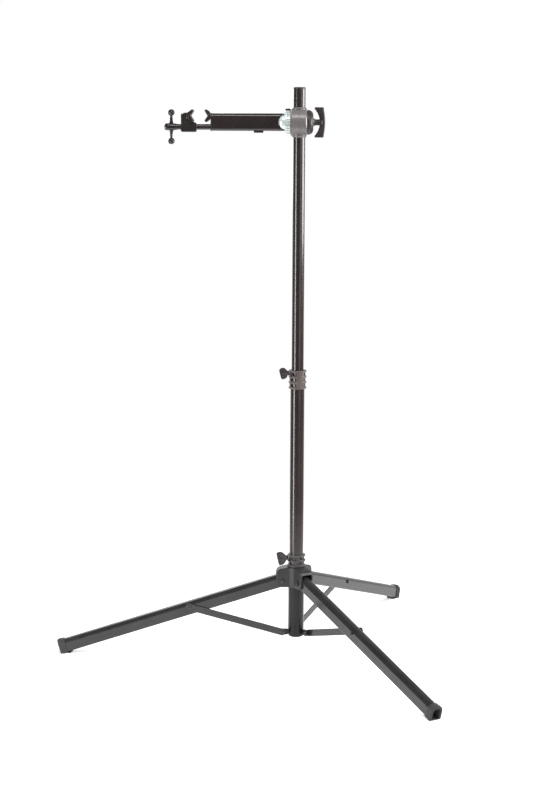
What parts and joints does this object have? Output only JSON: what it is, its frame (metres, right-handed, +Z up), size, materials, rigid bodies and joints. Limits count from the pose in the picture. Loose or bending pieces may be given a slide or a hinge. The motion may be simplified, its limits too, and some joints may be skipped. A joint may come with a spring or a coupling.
{
  "type": "bike repair stand",
  "caption": "Folding tripod repair stand with telescopic mast and rotating screw clamp for holding a bicycle by a tube.",
  "frame": {"origin": "on the floor, on the axis of the mast", "axes": "+Z up along the mast, -X from the mast towards the clamp jaws, +Y completes the right-handed frame"},
  "size_m": [1.1966, 1.3498, 1.803],
  "materials": {
    "tube_black": "gloss anodised",
    "leg_grey": "satin powder coat",
    "hub_grey": "satin powder coat",
    "collar_plastic": "moulded",
    "hub_plastic": "moulded",
    "head_grey": "satin",
    "black_plastic": "moulded",
    "gloss_black": "gloss",
    "zinc": "bright zinc plate",
    "steel": "plain",
    "dark_steel": "black oxide",
    "rubber": "matt",
    "nylon": "natural"
  },
  "bodies": {
    "lower_mast": {"lower_mast_tube": "tube_black", "bottom_collar": "hub_grey", "brace_lower_bolts": "dark_steel", "mid_collar": "collar_plastic", "mid_collar_bush": "nylon"},
    "mid_knob_washer": {"mid_knob_washer": "steel"},
    "mid_knob": {"mid_knob": "black_plastic", "mid_knob_stud": "steel"},
    "hub": {"hub_casting": "hub_grey", "hub_sleeve": "leg_grey", "hub_collar": "hub_plastic", "hub_bushes": "nylon", "leg_pivot_bolts": "dark_steel"},
    "hub_knob_washer": {"hub_knob_washer": "steel"},
    "hub_knob": {"hub_knob": "black_plastic", "hub_knob_stud": "steel"},
    "mast_glide": {"upper_mast_glide": "nylon"},
    "upper_mast": {"upper_mast_tube": "tube_black", "mast_top_cap": "black_plastic", "head_half_left": "head_grey", "head_half_right": "head_grey", "head_dome_cap": "black_plastic", "head_index_ring": "zinc", "index_pointer": "black_plastic"},
    "head_knob_washer": {"head_knob_washer": "steel"},
    "head_knob": {"head_knob": "black_plastic", "draw_bolt": "steel"},
    "clamp_arm": {"arm_tube": "gloss_black", "arm_index_dome": "zinc", "arm_end_guide": "black_plastic", "fixed_jaw": "black_plastic", "fixed_jaw_pad": "rubber", "release_spring": "steel"},
    "release_button": {"release_button": "black_plastic"},
    "jaw_rod": {"jaw_rod": "gloss_black", "spindle_nut": "steel"},
    "jaw_carrier": {"jaw_carrier": "black_plastic", "moving_jaw": "black_plastic", "moving_jaw_pad": "rubber"},
    "spindle": {"spindle_screw": "steel", "handle_barrel": "black_plastic", "handle_bar": "black_plastic"},
    "leg_1": {"leg_1_tube": "leg_grey", "leg_1_insert": "nylon", "leg_1_foot": "rubber", "leg_1_brace_bolt": "dark_steel"},
    "brace_1": {"brace_1_bar": "leg_grey"},
    "leg_2": {"leg_2_tube": "leg_grey", "leg_2_insert": "nylon", "leg_2_foot": "rubber", "leg_2_brace_bolt": "dark_steel"},
    "brace_2": {"brace_2_bar": "leg_grey"},
    "leg_3": {"leg_3_tube": "leg_grey", "leg_3_insert": "nylon", "leg_3_foot": "rubber", "leg_3_brace_bolt": "dark_steel"},
    "brace_3": {"brace_3_bar": "leg_grey"}
  },
  "joints": [
    {"name": "tripod_fold", "type": "hinge", "parent": "lower_mast", "child": "brace_1", "pos_m": [-0.04497, -0.00165, 0.0715], "axis": [-0.0366, 0.9993, 0], "range_deg": [0, 68]},
    {"name": "brace_1_on_leg_1", "type": "hinge", "parent": "brace_1", "child": "leg_1", "pos_m": [-0.34513, -0.01265, 0.15593], "axis": [0.0366, -0.9993, 0], "range_deg": [0, 136]},
    {"name": "leg_1_on_hub", "type": "hinge", "parent": "leg_1", "child": "hub", "pos_m": [-0.04497, -0.00165, 0.24036], "axis": [0.0366, -0.9993, 0], "range_deg": [-68, 0]},
    {"name": "leg_2_on_hub", "type": "hinge", "parent": "hub", "child": "leg_2", "pos_m": [0.02391, -0.03812, 0.24036], "axis": [0.8471, 0.5314, 0], "range_deg": [0, 68]},
    {"name": "brace_2_on_collar", "type": "hinge", "parent": "lower_mast", "child": "brace_2", "pos_m": [0.02391, -0.03812, 0.0715], "axis": [-0.8471, -0.5314, 0], "range_deg": [0, 68]},
    {"name": "leg_3_on_hub", "type": "hinge", "parent": "hub", "child": "leg_3", "pos_m": [0.02106, 0.03977, 0.24036], "axis": [-0.8838, 0.4679, 0], "range_deg": [0, 68]},
    {"name": "brace_3_on_collar", "type": "hinge", "parent": "lower_mast", "child": "brace_3", "pos_m": [0.02106, 0.03977, 0.0715], "axis": [0.8838, -0.4679, 0], "range_deg": [0, 68]},
    {"name": "mast_height", "type": "slide", "parent": "lower_mast", "child": "mast_glide", "axis": [0, 0, 1], "range_m": [-0.72, 0]},
    {"name": "mast_swivel", "type": "hinge", "parent": "mast_glide", "child": "upper_mast", "pos_m": [0, 0, 0.802], "axis": [0, 0, 1], "continuous": true},
    {"name": "clamp_rotation", "type": "hinge", "parent": "upper_mast", "child": "clamp_arm", "pos_m": [0, 0, 1.696], "axis": [1, 0, 0], "continuous": true},
    {"name": "head_knob_travel", "type": "slide", "parent": "upper_mast", "child": "head_knob_washer", "axis": [1, 0, 0], "range_m": [0, 0.004]},
    {"name": "head_knob_turn", "type": "hinge", "parent": "head_knob_washer", "child": "head_knob", "pos_m": [0, 0, 1.696], "axis": [1, 0, 0], "range_deg": [0, 720]},
    {"name": "mid_knob_travel", "type": "slide", "parent": "lower_mast", "child": "mid_knob_washer", "axis": [-0.866, -0.5, 0], "range_m": [0, 0.0015]},
    {"name": "mid_knob_turn", "type": "hinge", "parent": "mid_knob_washer", "child": "mid_knob", "pos_m": [0, 0, 0.915], "axis": [-0.866, -0.5, 0], "range_deg": [0, 360]},
    {"name": "hub_knob_travel", "type": "slide", "parent": "hub", "child": "hub_knob_washer", "axis": [-0.866, -0.5, 0], "range_m": [0, 0.0015]},
    {"name": "hub_knob_turn", "type": "hinge", "parent": "hub_knob_washer", "child": "hub_knob", "pos_m": [0, 0, 0.31755], "axis": [-0.866, -0.5, 0], "range_deg": [0, 360]},
    {"name": "jaw_quick_slide", "type": "slide", "parent": "clamp_arm", "child": "jaw_rod", "axis": [1, 0, 0], "range_m": [-0.012, 0.014]},
    {"name": "jaw_screw_travel", "type": "slide", "parent": "jaw_rod", "child": "jaw_carrier", "axis": [1, 0, 0], "range_m": [-0.008, 0.016]},
    {"name": "spindle_turn", "type": "hinge", "parent": "jaw_carrier", "child": "spindle", "pos_m": [0, 0, 1.681], "axis": [1, 0, 0], "range_deg": [-720, 1440]},
    {"name": "release_button", "type": "slide", "parent": "clamp_arm", "child": "release_button", "axis": [0, 0, 1], "range_m": [0, 0.004], "stiffness_N_per_m": 800, "springref_m": -0.004, "deforming": ["release_spring"]}
  ],
  "couplings": [
    {"joint": "brace_1_on_leg_1", "follows": "tripod_fold", "ratio": 2},
    {"joint": "leg_1_on_hub", "follows": "tripod_fold", "ratio": -1},
    {"joint": "leg_2_on_hub", "follows": "tripod_fold", "ratio": 1},
    {"joint": "brace_2_on_collar", "follows": "tripod_fold", "ratio": 1},
    {"joint": "leg_3_on_hub", "follows": "tripod_fold", "ratio": 1},
    {"joint": "brace_3_on_collar", "follows": "tripod_fold", "ratio": 1},
    {"joint": "head_knob_turn", "follows": "head_knob_travel", "rad_per_m": 3141.6},
    {"joint": "mid_knob_turn", "follows": "mid_knob_travel", "rad_per_m": 4188.8},
    {"joint": "hub_knob_turn", "follows": "hub_knob_travel", "rad_per_m": 4188.8},
    {"joint": "spindle_turn", "follows": "jaw_screw_travel", "rad_per_m": 1570.8}
  ]
}
